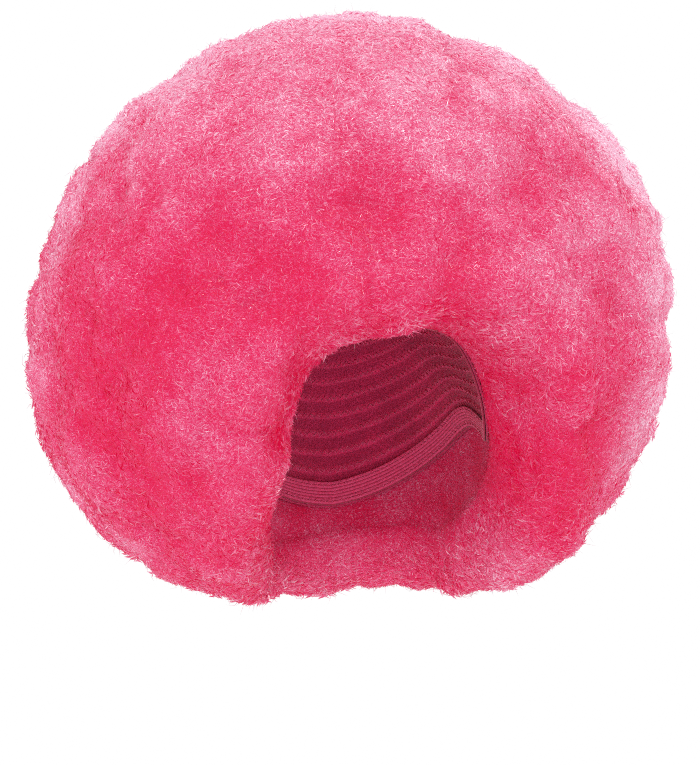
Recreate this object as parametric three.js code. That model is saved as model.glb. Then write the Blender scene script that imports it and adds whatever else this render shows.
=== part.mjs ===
import * as THREE from "three";
import { mergeVertices } from "three/addons/utils/BufferGeometryUtils.js";

// An oversize afro wig: a ball of crimped hair round a stretch cap with an elastic band.
// Millimetres. +Z is up, -Y is the side of the face and +X the wearer's left.
// The origin is the point inside the cap's crown that rests on top of the head.

// The head inside the cap, and the neck that the hair leaves room for.
const headBreadth = 154;
const headLength = 192;
const headHeight = 208;
const neckBreadth = 122;
const neckLength = 124;
const neckBehindCrown = 14;

// The cap and the elastic band sewn inside its edge.
const capWall = 1.6;
const bandWidth = 16;
const bandWall = 1.2;
const bandClearance = 0.5;

// The ball of hair, to the feet of its tufts.
const hairWidth = 382;
const hairLength = 364;
const hairRoundHeight = 382;
const hairAboveCrown = 142;
const hairBelowCrown = 217;
const hairBehindCrown = 24;
const hairClearance = 1.6;
const hemRounding = 44;

// The wig sits turned a little: its edge on the wearer's left lies this much further back.
const leftSweep = 12;

// The soft lip of hair round the face and neck.
const lipBulge = 12;
const lipThinning = 0.2;
const lipThinningFrom = 0.7;

// The tufts that cover the ball.
const tuftCount = 400;
const tuftHeight = 13;
const tuftReach = 29;
const tuftVariation = 0.35;
const tuftScatter = 0.5;

// The heart is the point inside the head from which all walls are measured, and the opening faces
// forwards and down from it, over the face and the neck.
const heart = new THREE.Vector3(0, 0, -0.41 * headHeight);
const openingTilt = THREE.MathUtils.degToRad(50);
const openingAxis = new THREE.Vector3(0, -Math.cos(openingTilt), -Math.sin(openingTilt));
const towardsForehead = new THREE.Vector3(0, -Math.sin(openingTilt), Math.cos(openingTilt));
const towardsLeft = new THREE.Vector3(1, 0, 0);

// Where each edge passes on one half of the head, from forehead to nape: shares of half the head's
// breadth, of half its length and of its height.
const hairEdge = [
  { place: "forehead", across: 0, behind: -1, below: 0.158 },
  { place: "corner of the forehead", across: 0.6, behind: -0.79, below: 0.26 },
  { place: "above the temple", across: 0.79, behind: -0.68, below: 0.42 },
  { place: "temple", across: 0.83, behind: -0.65, below: 0.53 },
  { place: "cheek", across: 0.91, behind: -0.36, below: 0.72 },
  { place: "side of the neck", across: 1.16, behind: 0.16, below: 1.067 },
  { place: "behind the neck", across: 0.8, behind: 0.83, below: 1.067 },
  { place: "nape", across: 0, behind: 1.17, below: 1.067 },
];
const capEdge = [
  { place: "forehead", across: 0, behind: -1, below: 0.17 },
  { place: "corner of the forehead", across: 0.6, behind: -0.77, below: 0.255 },
  { place: "temple", across: 0.83, behind: -0.63, below: 0.46 },
  { place: "tab before the ear", across: 0.91, behind: -0.42, below: 0.61 },
  { place: "over the ear", across: 1, behind: 0.1, below: 0.57 },
  { place: "behind the ear", across: 0.91, behind: 0.42, below: 0.65 },
  { place: "nape", across: 0, behind: 0.85, below: 0.79 },
];

// The main swellings and hollows of the hair: the direction from the middle of the ball, turned from
// the face towards the wearer's left and raised, in degrees, the height as a share of the hair above
// the crown, and the reach as a share of half the hair's width.
const swells = [
  { place: "over the forehead", turn: -3, rise: 6, height: 0.055, reach: 0.24 },
  { place: "left front", turn: 29, rise: 15, height: 0.06, reach: 0.3 },
  { place: "left cheek", turn: 25, rise: -15, height: 0.045, reach: 0.2 },
  { place: "right cheek", turn: -40, rise: -12, height: 0.05, reach: 0.22 },
  { place: "right front", turn: -17, rise: 20, height: 0.035, reach: 0.14 },
  { place: "top left", turn: 8, rise: 45, height: 0.045, reach: 0.3 },
  { place: "top right", turn: -52, rise: 42, height: 0.045, reach: 0.3 },
  { place: "right side", turn: -60, rise: 6, height: 0.035, reach: 0.16 },
  { place: "upper left outline", turn: 76, rise: 33, height: 0.025, reach: 0.34 },
  { place: "lower right outline", turn: -104, rise: -16, height: 0.025, reach: 0.3 },
  { place: "hem on the left", turn: 37, rise: -50, height: 0.1, reach: 0.3 },
  { place: "back of the crown", turn: 165, rise: 38, height: 0.05, reach: 0.34 },
  { place: "back left", turn: 130, rise: -8, height: 0.045, reach: 0.28 },
  { place: "back right", turn: -145, rise: 4, height: 0.04, reach: 0.26 },
];
const hollows = [
  { place: "middle front", turn: -10, rise: 26, height: -0.06, reach: 0.15 },
  { place: "middle top", turn: -12, rise: 37, height: -0.035, reach: 0.14 },
  { place: "over the right brow", turn: -26, rise: 16, height: -0.06, reach: 0.13 },
  { place: "upper right front", turn: -44, rise: 22, height: -0.055, reach: 0.15 },
  { place: "right front", turn: -50, rise: 12, height: -0.05, reach: 0.15 },
  { place: "right side", turn: -68, rise: -9, height: -0.065, reach: 0.24 },
  { place: "lower right", turn: -60, rise: -30, height: -0.045, reach: 0.16 },
  { place: "over the left brow", turn: 11, rise: 9, height: -0.06, reach: 0.15 },
  { place: "upper left front", turn: 10, rise: 20, height: -0.045, reach: 0.14 },
  { place: "top left front", turn: 24, rise: 30, height: -0.05, reach: 0.14 },
  { place: "lower left", turn: 31, rise: -28, height: -0.05, reach: 0.18 },
  { place: "left side", turn: 50, rise: -23, height: -0.045, reach: 0.16 },
  { place: "hem on the right", turn: -37, rise: -55, height: -0.05, reach: 0.2 },
  { place: "back middle", turn: 175, rise: -14, height: -0.05, reach: 0.24 },
  { place: "back upper left", turn: 120, rise: 24, height: -0.045, reach: 0.2 },
  { place: "back upper right", turn: -120, rise: 20, height: -0.045, reach: 0.2 },
];

// How finely the surfaces are divided.
const hairDivisions = 20;
const capColumns = 48;
const capRows = 8;
const bandRows = 2;

// On the sphere that is folded into the hair, the outer face ends at the first angle from the back
// pole and the lip ends at the second.
const outerFaceEnd = THREE.MathUtils.degToRad(118);
const lipEnd = THREE.MathUtils.degToRad(140);
const tuftFade = THREE.MathUtils.degToRad(19);

const head = {
  middle: new THREE.Vector3(0, 0, -headHeight / 2),
  half: new THREE.Vector3(headBreadth / 2, headLength / 2, headHeight / 2),
};
const ball = {
  middle: new THREE.Vector3(0, hairBehindCrown, hairAboveCrown - hairRoundHeight / 2),
  half: new THREE.Vector3(hairWidth / 2, hairLength / 2, hairRoundHeight / 2),
};

// Distance from the heart along a direction to an oval form grown by a margin.
function reachOfOval(form, direction, margin = 0) {
  const half = form.half.clone().addScalar(margin);
  const start = heart.clone().sub(form.middle).divide(half);
  const step = direction.clone().divide(half);
  const a = step.dot(step);
  const b = start.dot(step);
  const c = start.dot(start) - 1;
  return (-b + Math.sqrt(b * b - a * c)) / a;
}

// Distance from the heart to the wall of the neck, which counts only below the heart.
function reachOfNeck(direction) {
  if (direction.z >= 0) return 0;
  const start = new THREE.Vector2(0, -neckBehindCrown / (neckLength / 2));
  const step = new THREE.Vector2(direction.x / (neckBreadth / 2), direction.y / (neckLength / 2));
  const a = step.dot(step);
  const b = start.dot(step);
  const c = start.dot(start) - 1;
  return (-b + Math.sqrt(b * b - a * c)) / a;
}

// The lesser of two lengths, rounded where they are alike.
function blendedLeast(first, second, rounding) {
  const overlap = Math.max(rounding - Math.abs(first - second), 0) / rounding;
  return Math.min(first, second) - (overlap * overlap * rounding) / 4;
}

// A smooth step from 0 to 1.
function eased(share) {
  const t = THREE.MathUtils.clamp(share, 0, 1);
  return t * t * (3 - 2 * t);
}

// The ball of hair with its underside cut level, as a distance from the heart.
function reachOfBall(direction) {
  const round = reachOfOval(ball, direction);
  const level = direction.z < 0 ? (-hairBelowCrown - heart.z) / direction.z : Infinity;
  return blendedLeast(round, level, hemRounding);
}

// The room that the hair leaves for the cap, the head and the neck.
function reachOfHollow(direction) {
  const overCap = reachOfOval(head, direction, capWall + hairClearance);
  return Math.max(overCap, reachOfNeck(direction));
}

// The direction at an angle from the opening's axis, turned round it from the forehead.
function directionAt(fromAxis, round) {
  return new THREE.Vector3()
    .addScaledVector(openingAxis, Math.cos(fromAxis))
    .addScaledVector(towardsForehead, Math.sin(fromAxis) * Math.cos(round))
    .addScaledVector(towardsLeft, Math.sin(fromAxis) * Math.sin(round));
}

// A table of places on the head as knots: how far round the opening, and how far open there.
function edgeKnots(table) {
  return table.map(({ across, behind, below }) => {
    const place = new THREE.Vector3(
      (across * headBreadth) / 2,
      (behind * headLength) / 2,
      -below * headHeight,
    );
    const direction = place.sub(heart).normalize();
    return {
      round: Math.atan2(direction.dot(towardsLeft), direction.dot(towardsForehead)),
      open: Math.acos(direction.dot(openingAxis)),
    };
  });
}

// How far the opening reaches from its axis: a smooth curve through the knots, level at the forehead
// and the nape and the same on both sides, with the turn of the wig added.
function openingAngle(knots, round) {
  const turn = Math.abs(round);
  const last = knots.length - 1;
  const slope = (i) =>
    i === 0 || i === last
      ? 0
      : (knots[i + 1].open - knots[i - 1].open) / (knots[i + 1].round - knots[i - 1].round);
  const found = knots.findIndex((knot) => knot.round >= turn);
  const i = found === -1 ? last - 1 : Math.max(found - 1, 0);
  const span = knots[i + 1].round - knots[i].round;
  const t = THREE.MathUtils.clamp((turn - knots[i].round) / span, 0, 1);
  const turned = (leftSweep / (headBreadth / 2)) * Math.max(Math.sin(round), 0);
  return (
    turned +
    knots[i].open * (1 + 2 * t) * (1 - t) ** 2 +
    knots[i + 1].open * t * t * (3 - 2 * t) +
    span * t * (1 - t) * (slope(i) * (1 - t) - slope(i + 1) * t)
  );
}

const hairKnots = edgeKnots(hairEdge);
const capKnots = edgeKnots(capEdge);

// Folds a point of the unit sphere into the hair: the back of the sphere becomes the outer face, a
// belt becomes the lip and the front is pushed in as the hollow. Also says how much tufts lift it.
function foldedIntoHair(point) {
  const fromPole = Math.acos(THREE.MathUtils.clamp(-point.dot(openingAxis), -1, 1));
  const round = Math.atan2(point.dot(towardsLeft), point.dot(towardsForehead));
  const rim = Math.PI - openingAngle(hairKnots, round);
  const thinned = (angle) =>
    1 - lipThinning * eased((angle / rim - lipThinningFrom) / (1 - lipThinningFrom));
  let angle;
  let outward;
  if (fromPole <= outerFaceEnd) {
    angle = (rim * fromPole) / outerFaceEnd;
    outward = 1;
  } else if (fromPole < lipEnd) {
    const turned = (Math.PI * (fromPole - outerFaceEnd)) / (lipEnd - outerFaceEnd);
    const rimDirection = directionAt(Math.PI - rim, round);
    const middle = (reachOfBall(rimDirection) + reachOfHollow(rimDirection)) / 2;
    angle = rim + (lipBulge / middle) * Math.sin(turned);
    outward = (1 + Math.cos(turned)) / 2;
  } else {
    angle = (rim * (Math.PI - fromPole)) / (Math.PI - lipEnd);
    outward = 0;
  }
  const direction = directionAt(Math.PI - angle, round);
  const shape = angle > rim ? directionAt(Math.PI - rim, round) : direction;
  const inner = reachOfHollow(shape);
  const thickness = (reachOfBall(shape) - inner) * thinned(Math.min(angle, rim));
  return {
    place: heart.clone().addScaledVector(direction, inner + thickness * outward),
    lift: 1 - eased((fromPole - lipEnd + tuftFade) / tuftFade),
  };
}

// A repeatable number from 0 to 1 for each whole number.
function scattered(i, salt) {
  const value = Math.sin(i * 12.9898 + salt * 78.233) * 43758.5453;
  return value - Math.floor(value);
}

// Points spread over the unit sphere by the golden angle, each then moved a little at random.
function spreadPoint(i, count) {
  const z = 1 - (2 * i + 1) / count;
  const turn = i * Math.PI * (3 - Math.sqrt(5));
  const radius = Math.sqrt(1 - z * z);
  const spacing = Math.sqrt((4 * Math.PI) / count);
  const moved = [2, 3, 4].map((salt) => tuftScatter * spacing * (2 * scattered(i, salt) - 1));
  return new THREE.Vector3(radius * Math.cos(turn), radius * Math.sin(turn), z)
    .add(new THREE.Vector3(...moved))
    .normalize();
}

// The middles, sizes and heights of the tufts.
function makeTufts() {
  const tufts = [];
  for (let i = 0; i < tuftCount; i++) {
    const { place, lift } = foldedIntoHair(spreadPoint(i, tuftCount));
    if (lift === 0) continue;
    const size = 1 + tuftVariation * (2 * scattered(i, 1) - 1);
    tufts.push({ place, reach: tuftReach * size, height: tuftHeight * lift * size });
  }
  return tufts;
}

// How far the tufts raise the surface at a place: the highest of the rounded caps over it.
function tuftLift(tufts, place) {
  let highest = 0;
  for (const tuft of tufts) {
    const share = place.distanceTo(tuft.place) / tuft.reach;
    highest = Math.max(highest, tuft.height * (1 - share * share));
  }
  return highest;
}

// How far the main swellings and hollows raise or sink the surface at a place.
function formLift(place) {
  const direction = place.clone().sub(ball.middle).normalize();
  let lift = 0;
  for (const { turn, rise, height, reach } of [...swells, ...hollows]) {
    const around = THREE.MathUtils.degToRad(turn);
    const raised = THREE.MathUtils.degToRad(rise);
    const aim = new THREE.Vector3(
      Math.sin(around) * Math.cos(raised),
      -Math.cos(around) * Math.cos(raised),
      Math.sin(raised),
    );
    const share = direction.angleTo(aim) / reach;
    lift += height * hairAboveCrown * Math.exp(-share * share);
  }
  return lift;
}

// The hair: an evenly divided sphere folded into a thick bowl, then raised into tufts along its normals.
function hairGeometry() {
  const sphere = new THREE.IcosahedronGeometry(1, hairDivisions);
  sphere.deleteAttribute("normal");
  sphere.deleteAttribute("uv");
  const geometry = mergeVertices(sphere);
  const position = geometry.getAttribute("position");
  const lifts = [];
  const point = new THREE.Vector3();
  for (let i = 0; i < position.count; i++) {
    const { place, lift } = foldedIntoHair(point.fromBufferAttribute(position, i).normalize());
    lifts.push(lift);
    position.setXYZ(i, place.x, place.y, place.z);
  }
  geometry.computeVertexNormals();
  const normals = geometry.getAttribute("normal");
  const normal = new THREE.Vector3();
  const tufts = makeTufts();
  for (let i = 0; i < position.count; i++) {
    point.fromBufferAttribute(position, i);
    normal.fromBufferAttribute(normals, i);
    point.addScaledVector(normal, lifts[i] * (tuftLift(tufts, point) + formLift(point)));
    position.setXYZ(i, point.x, point.y, point.z);
  }
  geometry.computeVertexNormals();
  return geometry;
}

// A wall between two reaches from the heart. In each column round the opening it passes through the
// angles from the back pole that the given function lists. A dome also closes over the pole.
function wallGeometry({ outer, inner, angles, dome }) {
  const vertices = [];
  const faces = [];
  const rows = angles(0).length;
  const addPoint = (angle, round, reach) => {
    const direction = directionAt(Math.PI - angle, round);
    const place = heart.clone().addScaledVector(direction, reach(direction));
    vertices.push(place.x, place.y, place.z);
  };
  const columnAngles = [];
  for (let column = 0; column < capColumns; column++) {
    const round = (2 * Math.PI * column) / capColumns - Math.PI;
    columnAngles.push({ round, list: angles(round) });
  }
  for (const reach of [outer, inner]) {
    for (let row = 0; row < rows; row++) {
      for (const { round, list } of columnAngles) addPoint(list[row], round, reach);
    }
  }
  const layer = rows * capColumns;
  const last = rows - 1;
  const at = (side, row, column) => side * layer + row * capColumns + (column % capColumns);
  const quad = (a, b, c, d) => faces.push(a, c, b, a, d, c);
  for (let column = 0; column < capColumns; column++) {
    const next = column + 1;
    for (let row = 0; row < last; row++) {
      quad(at(0, row, column), at(0, row, next), at(0, row + 1, next), at(0, row + 1, column));
      faces.push(at(1, row, column), at(1, row, next), at(1, row + 1, next));
      faces.push(at(1, row, column), at(1, row + 1, next), at(1, row + 1, column));
    }
    quad(at(0, last, column), at(0, last, next), at(1, last, next), at(1, last, column));
    if (!dome) quad(at(0, 0, column), at(1, 0, column), at(1, 0, next), at(0, 0, next));
  }
  if (dome) {
    addPoint(0, 0, outer);
    addPoint(0, 0, inner);
    const pole = 2 * layer;
    for (let column = 0; column < capColumns; column++) {
      faces.push(pole, at(0, 0, column), at(0, 0, column + 1));
      faces.push(pole + 1, at(1, 0, column + 1), at(1, 0, column));
    }
  }
  const geometry = new THREE.BufferGeometry();
  geometry.setAttribute("position", new THREE.Float32BufferAttribute(vertices, 3));
  geometry.setIndex(faces);
  geometry.computeVertexNormals();
  return geometry;
}

// The angles from the back pole of the cap's rows: evenly down to the band, then across the band.
function capAngles(round) {
  const end = Math.PI - openingAngle(capKnots, round);
  const edge = directionAt(Math.PI - end, round);
  const bandStart = end - bandWidth / reachOfOval(head, edge);
  const angles = [];
  for (let row = 1; row <= capRows; row++) angles.push((bandStart * row) / capRows);
  for (let row = 1; row <= bandRows; row++) {
    angles.push(bandStart + ((end - bandStart) * row) / bandRows);
  }
  return angles;
}

// The cap, whose inside is the head's own form.
function capGeometry() {
  return wallGeometry({
    outer: (direction) => reachOfOval(head, direction, capWall),
    inner: (direction) => reachOfOval(head, direction),
    angles: capAngles,
    dome: true,
  });
}

// The elastic band inside the cap's edge.
function bandGeometry() {
  return wallGeometry({
    outer: (direction) => reachOfOval(head, direction) - bandClearance,
    inner: (direction) => reachOfOval(head, direction) - bandClearance - bandWall,
    angles: (round) => capAngles(round).slice(-bandRows - 1),
    dome: false,
  });
}

function namedMesh(name, geometry, material) {
  const mesh = new THREE.Mesh(geometry, material);
  mesh.name = name;
  return mesh;
}

const hairMaterial = new THREE.MeshStandardMaterial({ color: 0xe7406c, roughness: 0.9 });
const capMaterial = new THREE.MeshStandardMaterial({ color: 0xb02555, roughness: 0.95 });
const bandMaterial = new THREE.MeshStandardMaterial({ color: 0xc43264, roughness: 0.8 });

const wig = new THREE.Group();
wig.add(namedMesh("hair", hairGeometry(), hairMaterial));
wig.add(namedMesh("cap", capGeometry(), capMaterial));
wig.add(namedMesh("edge_band", bandGeometry(), bandMaterial));

export default wig;
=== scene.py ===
import math

import bpy
import numpy as np
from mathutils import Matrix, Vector


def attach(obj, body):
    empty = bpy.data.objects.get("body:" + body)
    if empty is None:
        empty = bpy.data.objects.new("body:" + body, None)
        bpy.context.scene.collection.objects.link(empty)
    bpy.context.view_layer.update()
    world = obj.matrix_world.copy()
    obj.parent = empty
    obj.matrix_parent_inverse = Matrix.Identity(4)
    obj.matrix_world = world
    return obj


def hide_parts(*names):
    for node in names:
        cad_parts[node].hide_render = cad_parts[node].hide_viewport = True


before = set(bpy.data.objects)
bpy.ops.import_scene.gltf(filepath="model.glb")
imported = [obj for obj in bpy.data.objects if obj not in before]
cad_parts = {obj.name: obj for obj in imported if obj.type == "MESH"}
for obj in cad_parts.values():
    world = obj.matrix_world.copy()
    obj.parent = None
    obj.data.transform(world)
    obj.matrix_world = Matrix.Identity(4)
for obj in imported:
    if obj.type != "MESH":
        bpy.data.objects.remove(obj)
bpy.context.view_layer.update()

# An oversize afro wig: a ball of crimped hair round a stretch cap with an elastic band, held up as a
# head holds it. Metres. +Z is up, -Y is the open front and +X the left as worn.

print("frame loaded:", ", ".join(sorted(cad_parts)))

# The head form that the cap is shaped to, and the room that the hair leaves open below it.
headForm = {
    "breadth": 0.154,
    "length": 0.192,
    "height": 0.208,
    "neckBreadth": 0.122,
    "neckLength": 0.124,
    "neckBehindCrown": 0.014,
    "heartShare": 0.41,
    "openingTilt": 50,
    "meanRadius": 0.09,
    "meanWidth": 0.17,
}

# Every wall is measured from the heart, a point inside the head. The opening faces forwards and down.
heart = np.array([0.0, 0.0, -headForm["heartShare"] * headForm["height"]])
tilt = math.radians(headForm["openingTilt"])
openingAxis = np.array([0.0, -math.cos(tilt), -math.sin(tilt)])
towardsFront = np.array([0.0, -math.sin(tilt), math.cos(tilt)])
towardsLeft = np.array([1.0, 0.0, 0.0])


def unitRows(vectors):
    # each row divided by its own length
    return vectors / np.maximum(np.linalg.norm(vectors, axis=-1, keepdims=True), 1e-12)


def eased(share):
    # a smooth step: 3 t^2 - 2 t^3 of the share, held between 0 and 1
    t = np.clip(share, 0, 1)
    return t * t * (3 - 2 * t)


def scattered(i, salt):
    # a repeatable number from 0 to 1: the fraction of a large multiple of a sine
    value = np.sin(i * 12.9898 + salt * 78.233) * 43758.5453
    return value - np.floor(value)


def directionAt(fromPole, around):
    # the direction at an angle from the pole at the back, turned round the opening from the front
    across = np.sin(fromPole)[..., None]
    turned = np.cos(around)[..., None] * towardsFront + np.sin(around)[..., None] * towardsLeft
    return -np.cos(fromPole)[..., None] * openingAxis + across * turned


def columnsAround(count):
    # evenly spaced turns round the opening, from the back round to the back again
    return 2 * math.pi * np.arange(count) / count - math.pi


def reachOfOval(directions, middle, half):
    # distance from the heart along each direction to an oval: the larger root of |start + t step| = 1
    start = (heart - middle) / half
    step = directions / half
    a = (step * step).sum(-1)
    b = (step * start).sum(-1)
    c = (start * start).sum() - 1
    return (-b + np.sqrt(b * b - a * c)) / a


def headOval(margin=0.0):
    # the middle and half sizes of the head's oval, grown by a margin
    half = np.array([headForm["breadth"], headForm["length"], headForm["height"]]) / 2
    return np.array([0.0, 0.0, -headForm["height"] / 2]), half + margin


def reachOfNeck(directions):
    # distance from the heart to an upright oval tube, which counts only below the heart
    half = np.array([headForm["neckBreadth"], headForm["neckLength"]]) / 2
    start = np.array([0.0, -headForm["neckBehindCrown"]]) / half
    step = directions[..., :2] / half
    a = np.maximum((step * step).sum(-1), 1e-9)
    b = (step * start).sum(-1)
    c = (start * start).sum() - 1
    return np.where(directions[..., 2] < 0, (-b + np.sqrt(b * b - a * c)) / a, 0.0)


def edgeKnots(table):
    # places on the head, as shares of its half breadth, half length and height, become angles
    places = np.array(table) * [headForm["breadth"] / 2, headForm["length"] / 2, -headForm["height"]]
    directions = unitRows(places - heart)
    around = np.arctan2(directions @ towardsLeft, directions @ towardsFront)
    return around, np.arccos(directions @ openingAxis)


def rimAngle(knots, around):
    # angle from the back pole to an edge: a Hermite curve through the knots, level at both ends, less
    # the turn of the wig on its left
    turns, opens = knots
    slopes = np.zeros(len(turns))
    slopes[1:-1] = (opens[2:] - opens[:-2]) / (turns[2:] - turns[:-2])
    turn = np.abs(around)
    i = np.clip(np.searchsorted(turns, turn) - 1, 0, len(turns) - 2)
    span = turns[i + 1] - turns[i]
    t = np.clip((turn - turns[i]) / span, 0, 1)
    opened = (
        opens[i] * (1 + 2 * t) * (1 - t) ** 2
        + opens[i + 1] * t * t * (3 - 2 * t)
        + span * t * (1 - t) * (slopes[i] * (1 - t) - slopes[i + 1] * t)
    )
    swept = hairForm["leftSweep"] / (headForm["breadth"] / 2) * np.maximum(np.sin(around), 0)
    return math.pi - opened - swept


def waveField(points, count, shortest, longest, seed):
    # a smooth random field from -1 to 1: the mean of plane waves of random direction and length
    rng = np.random.default_rng(seed)
    ways = unitRows(rng.normal(size=(count, 3)))
    numbers = 2 * math.pi / rng.uniform(shortest, longest, count)
    phases = rng.uniform(0, 2 * math.pi, count)
    total = np.zeros(points.shape[:-1])
    for way, number, phase in zip(ways, numbers, phases):
        total += np.sin(points @ (way * number) + phase)
    return total / math.sqrt(count / 2) / 2


def newPiece(name, points, faces, material, node=None, uv=None, attributes=None):
    # a mesh from arrays: faces is a list of index arrays, each with one number of corners
    mesh = bpy.data.meshes.new(name)
    corners = np.concatenate([part.reshape(-1) for part in faces])
    sizes = np.concatenate([np.full(len(part), part.shape[1]) for part in faces])
    mesh.vertices.add(len(points))
    mesh.vertices.foreach_set("co", np.ascontiguousarray(points, dtype=np.float32).reshape(-1))
    mesh.loops.add(len(corners))
    mesh.loops.foreach_set("vertex_index", corners.astype(np.int32))
    mesh.polygons.add(len(sizes))
    firstCorners = np.concatenate([[0], np.cumsum(sizes)[:-1]])
    mesh.polygons.foreach_set("loop_start", firstCorners.astype(np.int32))
    mesh.update(calc_edges=True)
    mesh.validate()
    mesh.polygons.foreach_set("use_smooth", np.ones(len(mesh.polygons), dtype=bool))
    if uv is not None:
        layer = mesh.uv_layers.new(name="OFBake")
        layer.data.foreach_set("uv", np.ascontiguousarray(uv, dtype=np.float32).reshape(-1))
    for label, values in (attributes or {}).items():
        mesh.attributes.new(label, "FLOAT", "POINT").data.foreach_set("value", values.astype(np.float32))
    mesh.materials.append(material)
    piece = bpy.data.objects.new(name, mesh)
    bpy.context.scene.collection.objects.link(piece)
    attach(piece, "root")
    if node:
        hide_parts(node)
    print(name, len(mesh.vertices), "points,", len(mesh.polygons), "faces")
    return piece


# Materials. Each is built by a short function from the same few node helpers.


def newMaterial(name, settings):
    # a material with its shader's plain values set on the shader's own sockets
    material = bpy.data.materials.new(name)
    material.use_nodes = True
    shader = material.node_tree.nodes["Principled BSDF"]
    for socket, value in settings.items():
        shader.inputs[socket].default_value = value
    return material, material.node_tree, shader


def addNode(tree, kind, values=None, links=None, **settings):
    # a node with its settings, plain values and incoming links
    node = tree.nodes.new(kind)
    for key, value in settings.items():
        setattr(node, key, value)
    for socket, value in (values or {}).items():
        node.inputs[socket].default_value = value
    for socket, source in (links or {}).items():
        tree.links.new(source, node.inputs[socket])
    return node


def linear(red, green, blue):
    # a screen colour, 0 to 255, as the linear colour that shaders use
    shares = np.array([red, green, blue]) / 255
    values = np.where(shares <= 0.04045, shares / 12.92, ((shares + 0.055) / 1.055) ** 2.4)
    return (*values.tolist(), 1.0)


def fillSocket(tree, socket, part):
    # a plain value is set on the socket, and an output is linked to it
    if isinstance(part, (tuple, float, int)):
        socket.default_value = part
    else:
        tree.links.new(part, socket)


def mixColours(tree, share, first, second, blend="MIX"):
    # first * (1 - share) + second * share
    node = addNode(tree, "ShaderNodeMix", data_type="RGBA", blend_type=blend)
    for socket, part in ((0, share), (6, first), (7, second)):
        fillSocket(tree, node.inputs[socket], part)
    return node.outputs[2]


def worked(tree, operation, *parts):
    # a sum or product of up to three parts
    node = addNode(tree, "ShaderNodeMath", operation=operation)
    for socket, part in enumerate(parts):
        fillSocket(tree, node.inputs[socket], part)
    return node.outputs[0]


def attributeOf(tree, name):
    # the value of a named attribute of the mesh
    return addNode(tree, "ShaderNodeAttribute", attribute_name=name).outputs["Fac"]


def dressShader(tree, shader, colour, height=None, strength=0.0, distance=0.0):
    # the colour, and a bump where there is a height
    tree.links.new(colour, shader.inputs["Base Color"])
    if height is not None:
        values = {"Strength": strength, "Distance": distance}
        bump = addNode(tree, "ShaderNodeBump", values, {"Height": height})
        tree.links.new(bump.outputs["Normal"], shader.inputs["Normal"])


def objectNoise(tree, scale, detail=2.0, roughness=0.5, distortion=0.0, stretch=1.0):
    # a noise over the piece's own coordinates, drawn out level by the stretch
    place = addNode(tree, "ShaderNodeTexCoord").outputs["Object"]
    if stretch != 1:
        steeper = {1: (1.0, 1.0, stretch)}
        place = addNode(tree, "ShaderNodeVectorMath", steeper, {0: place}, operation="MULTIPLY").outputs[0]
    values = {"Scale": scale, "Detail": detail, "Roughness": roughness, "Distortion": distortion}
    return addNode(tree, "ShaderNodeTexNoise", values, {"Vector": place}).outputs["Fac"]


def spread(tree, value, low, high, toLow=0.0, toHigh=1.0):
    # the value from low to high laid over toLow to toHigh, in a straight line, and held there
    values = {1: low, 2: high, 3: toLow, 4: toHigh}
    return addNode(tree, "ShaderNodeMapRange", values, {0: value}).outputs[0]


# The hair's colour by its tone, from 0, painted shade deep in the hair, to 1, painted light at its palest
# ends.
hairColours = {
    "places": (0.0, 0.25, 0.5, 0.75, 1.0),
    "shades": (
        linear(217, 4, 68),
        linear(218, 24, 88),
        linear(224, 80, 127),
        linear(230, 138, 171),
        linear(240, 205, 222),
    ),
    # the fibre lines' scale, width and lift; the finest are painted glints
    "lines": ((200.0, 0.06, 0.32), (340.0, 0.09, 0.36), (600.0, 0.14, 0.16)),
    # the ground between the fibre lines is painted darker, as shade
    "lineLess": 0.13,
    "levelStretch": 1.5,
    "paintedTipLight": 0.15,
    "bumpScale": 520.0,
}


def fibreLines(tree, scale, width, stretch=1.0):
    # thin curling lines where a distorted noise crosses its middle: 1 at the crossing, 0 a width away
    noise = objectNoise(tree, scale, 1.0, 0.5, 2.0, stretch)
    away = worked(tree, "ABSOLUTE", worked(tree, "SUBTRACT", noise, 0.5))
    return spread(tree, away, 0.0, width, 1.0, 0.0)


def raisedBy(tree, tone, share, lift):
    # tone + share * lift
    return worked(tree, "MULTIPLY_ADD", share, lift, tone)


def hairShade(tree, tone):
    # the hair's colour by its tone, in straight lines between the shades
    node = addNode(tree, "ShaderNodeValToRGB", None, {0: tone})
    stops = node.color_ramp.elements
    places, shades = hairColours["places"], hairColours["shades"]
    for place in places[1:-1]:
        stops.new(place)
    for stop, place, shade in zip(stops, places, shades):
        stop.position = place
        stop.color = shade
    return node.outputs[0]


def hairMassMaterial():
    # the tone of the place less a little, as painted shade between the fibres, plus a share of each fibre
    # line, the finest as painted glints, and a bump of the same lines
    settings = {
        "Roughness": 0.8,
        "Specular IOR Level": 0.2,
        "Sheen Weight": 0.1,
        "Sheen Roughness": 0.5,
        "Sheen Tint": linear(255, 200, 220),
    }
    material, tree, shader = newMaterial("crimped_hair_mass", settings)
    tone = worked(tree, "SUBTRACT", attributeOf(tree, "tone"), hairColours["lineLess"])
    height = objectNoise(tree, hairColours["bumpScale"], 4, 0.65, 1.2)
    for scale, width, lift in hairColours["lines"]:
        lines = fibreLines(tree, scale, width, hairColours["levelStretch"])
        tone = raisedBy(tree, tone, lines, lift)
        height = worked(tree, "ADD", lines, height)
    dressShader(tree, shader, hairShade(tree, tone), height, 0.3, 0.0006)
    return material


def strandMaterial():
    # the strand's own tone, with painted light making it paler towards its end
    settings = {"Roughness": 0.3, "Specular IOR Level": 0.4}
    material, tree, shader = newMaterial("crimped_strands", settings)
    along, tone = attributeOf(tree, "along"), attributeOf(tree, "tone")
    tone = raisedBy(tree, tone, along, hairColours["paintedTipLight"])
    dressShader(tree, shader, hairShade(tree, tone))
    return material


# The hair: a sphere's grid of angles folded into a thick bowl, then raised along its normals.

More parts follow.
